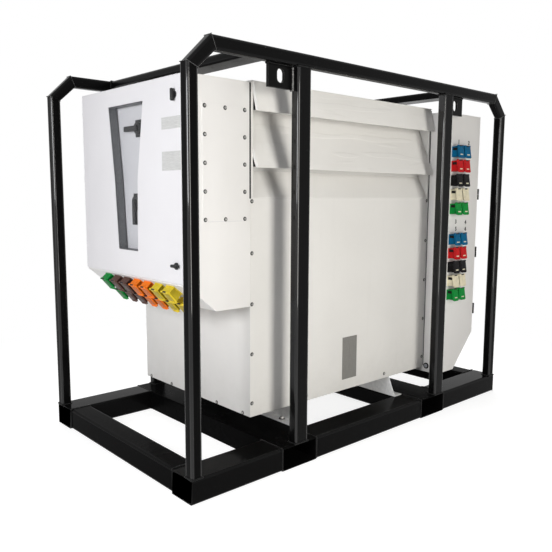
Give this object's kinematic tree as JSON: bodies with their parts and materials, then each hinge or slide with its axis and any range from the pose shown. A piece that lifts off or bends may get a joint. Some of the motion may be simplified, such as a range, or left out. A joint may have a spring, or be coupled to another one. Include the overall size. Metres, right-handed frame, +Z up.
{
  "type": "skid-mounted power transformer",
  "caption": "Dry-type power transformer in a ventilated white steel housing on a black welded tube skid, with an input cabinet, an output cabinet and colour-coded receptacles.",
  "frame": {"origin": "middle of the skid's footprint, on the floor", "axes": "+X along the length towards the output cabinet, +Y to the back, +Z up"},
  "size_m": [2.182, 1.219, 1.747],
  "materials": {
    "frame_paint": "semi-gloss",
    "galvanised_steel": "galvanised",
    "housing_inner": "satin",
    "housing_paint": "satin",
    "cabinet_paint": "satin",
    "door_paint": "satin",
    "dead_front_paint": "satin",
    "plate_metal": "brushed",
    "window_trim": "matte",
    "window_clear": "clear",
    "black_plastic": "matte",
    "hinge_black": "satin",
    "plug_metal": "satin",
    "green_socket": "gloss",
    "brown_socket": "gloss",
    "orange_socket": "gloss",
    "yellow_socket": "gloss",
    "blue_socket": "gloss",
    "red_socket": "gloss",
    "black_socket": "gloss",
    "cream_socket": "gloss"
  },
  "bodies": {
    "skid": {"back_base_rail": "frame_paint", "back_lifting_lugs": "frame_paint", "back_panel": "housing_paint", "back_vent_hoods": "housing_paint", "base_end_tubes": "frame_paint", "breaker_escutcheons": "black_plastic", "cabinet_plug": "plug_metal", "corner_braces": "frame_paint", "corner_posts": "frame_paint", "front_base_rail": "frame_paint", "front_lifting_lugs": "frame_paint", "front_panel": "housing_paint", "front_vent_hoods": "housing_paint", "housing_carriers": "frame_paint", "housing_end_walls": "housing_paint", "housing_feet": "galvanised_steel", "housing_roof": "housing_paint", "input_brown_receptacles": "brown_socket", "input_cabinet": "cabinet_paint", "input_dead_front": "dead_front_paint", "input_green_receptacles": "green_socket", "input_hinge_knuckles": "hinge_black", "input_orange_receptacles": "orange_socket", "input_side_covers": "cabinet_paint", "input_yellow_receptacles": "yellow_socket", "left_fork_pocket": "frame_paint", "middle_posts": "frame_paint", "output_black_receptacles": "black_socket", "output_blue_receptacles": "blue_socket", "output_cabinet": "cabinet_paint", "output_cream_receptacles": "cream_socket", "output_green_receptacles": "green_socket", "output_hinge_knuckles": "hinge_black", "output_inner_panel": "dead_front_paint", "output_receptacle_plate": "cabinet_paint", "output_red_receptacles": "red_socket", "rating_plate": "plate_metal", "right_fork_pocket": "frame_paint", "top_cross_rails": "frame_paint", "top_rails": "frame_paint", "transformer_housing": "housing_inner"},
    "input_door": {"input_door": "door_paint", "input_window_trim": "window_trim", "input_window_pane": "window_clear", "input_door_knuckles": "hinge_black"},
    "upper_latch": {"upper_door_latch": "black_plastic"},
    "lower_latch": {"lower_door_latch": "black_plastic"},
    "upper_handle": {"upper_breaker_handle": "black_plastic"},
    "lower_handle": {"lower_breaker_handle": "black_plastic"},
    "output_door": {"output_door": "cabinet_paint", "output_door_knuckles": "hinge_black"}
  },
  "joints": [
    {"name": "input_door_hinge", "type": "hinge", "parent": "skid", "child": "input_door", "pos_m": [-0.962, 0.4483, 1.226], "axis": [0, 0, -1], "range_deg": [0, 105]},
    {"name": "upper_latch_turn", "type": "hinge", "parent": "input_door", "child": "upper_latch", "pos_m": [-0.99, -0.371, 1.558], "axis": [1, 0, 0], "range_deg": [0, 90]},
    {"name": "lower_latch_turn", "type": "hinge", "parent": "input_door", "child": "lower_latch", "pos_m": [-0.99, -0.371, 0.89], "axis": [1, 0, 0], "range_deg": [0, 90]},
    {"name": "upper_breaker_turn", "type": "hinge", "parent": "skid", "child": "upper_handle", "pos_m": [-0.95, -0.025, 1.457], "axis": [-1, 0, 0], "range_deg": [0, 90]},
    {"name": "lower_breaker_turn", "type": "hinge", "parent": "skid", "child": "lower_handle", "pos_m": [-0.95, 0.004, 1.14], "axis": [1, 0, 0], "range_deg": [0, 90]},
    {"name": "output_door_hinge", "type": "hinge", "parent": "skid", "child": "output_door", "pos_m": [0.9533, -0.53, 0.851], "axis": [0, 0, -1], "range_deg": [0, 95]}
  ]
}
